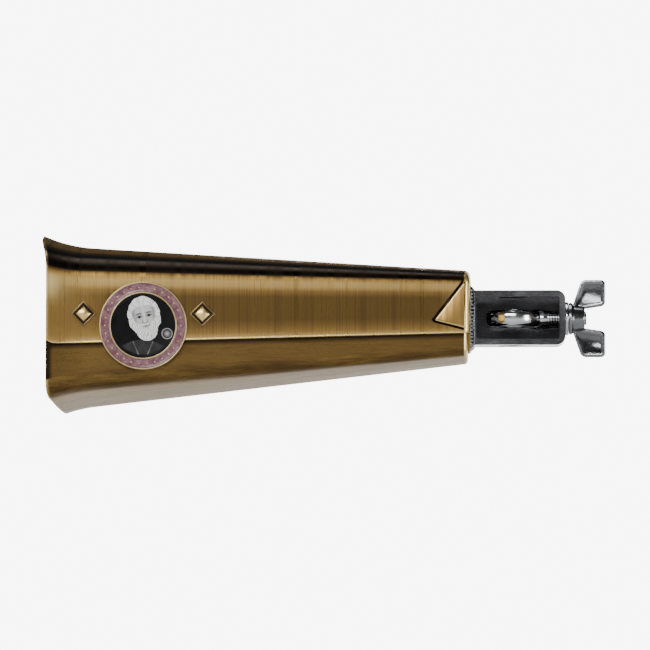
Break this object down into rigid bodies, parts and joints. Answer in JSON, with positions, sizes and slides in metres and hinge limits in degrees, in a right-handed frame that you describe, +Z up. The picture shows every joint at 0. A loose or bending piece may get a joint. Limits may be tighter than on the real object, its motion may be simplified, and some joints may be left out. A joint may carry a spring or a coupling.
{
  "type": "cowbell",
  "caption": "Tapered brass cowbell of lapped sheet shells with a round badge, and a chromed rod clamp with an eye bolt and a wing nut.",
  "frame": {"origin": "centre of the rod clamp, on the axis of the eye bolt's bore", "axes": "+Z up along the rod that the clamp grips; the bell's length runs along X with the mouth at -X and the wing nut at +X; the badge faces -Y"},
  "size_m": [0.2835, 0.1248, 0.0901],
  "materials": {
    "shell_metal": "brushed antique brass, darkened between the brush lines",
    "rivet_metal": "brass with a dark edge",
    "badge_metal": "dull struck brass",
    "ring_enamel": "dusty maroon enamel",
    "disc_enamel": "gloss black enamel",
    "portrait_silver": "white and grey enamelled relief",
    "bracket_chrome": "polished chrome",
    "bolt_chrome": "polished chrome",
    "nut_chrome": "polished chrome on a cast nut"
  },
  "bodies": {
    "bell": {"upper_shell": "shell_metal", "lower_shell": "shell_metal", "lap_rivets": "rivet_metal", "badge_body": "badge_metal", "badge_ring": "ring_enamel", "badge_disc": "disc_enamel", "badge_beads": "badge_metal", "badge_portrait": "portrait_silver", "badge_hand_drum": "portrait_silver", "mount_bracket": "bracket_chrome", "bracket_weld": "bracket_chrome", "flat_washer": "bolt_chrome"},
    "eye_bolt": {"eye_bolt": "bolt_chrome"},
    "wing_nut": {"wing_nut": "nut_chrome"}
  },
  "joints": [
    {"name": "eye_bolt_draw", "type": "slide", "parent": "bell", "child": "eye_bolt", "axis": [1, 0, 0], "range_m": [-0.002, 0.0042]},
    {"name": "wing_nut_turn", "type": "hinge", "parent": "bell", "child": "wing_nut", "pos_m": [0.0275, 0, 0], "axis": [-1, 0, 0], "range_deg": [-580, 1214]}
  ],
  "couplings": [
    {"joint": "wing_nut_turn", "follows": "eye_bolt_draw", "rad_per_m": 5026.5}
  ]
}
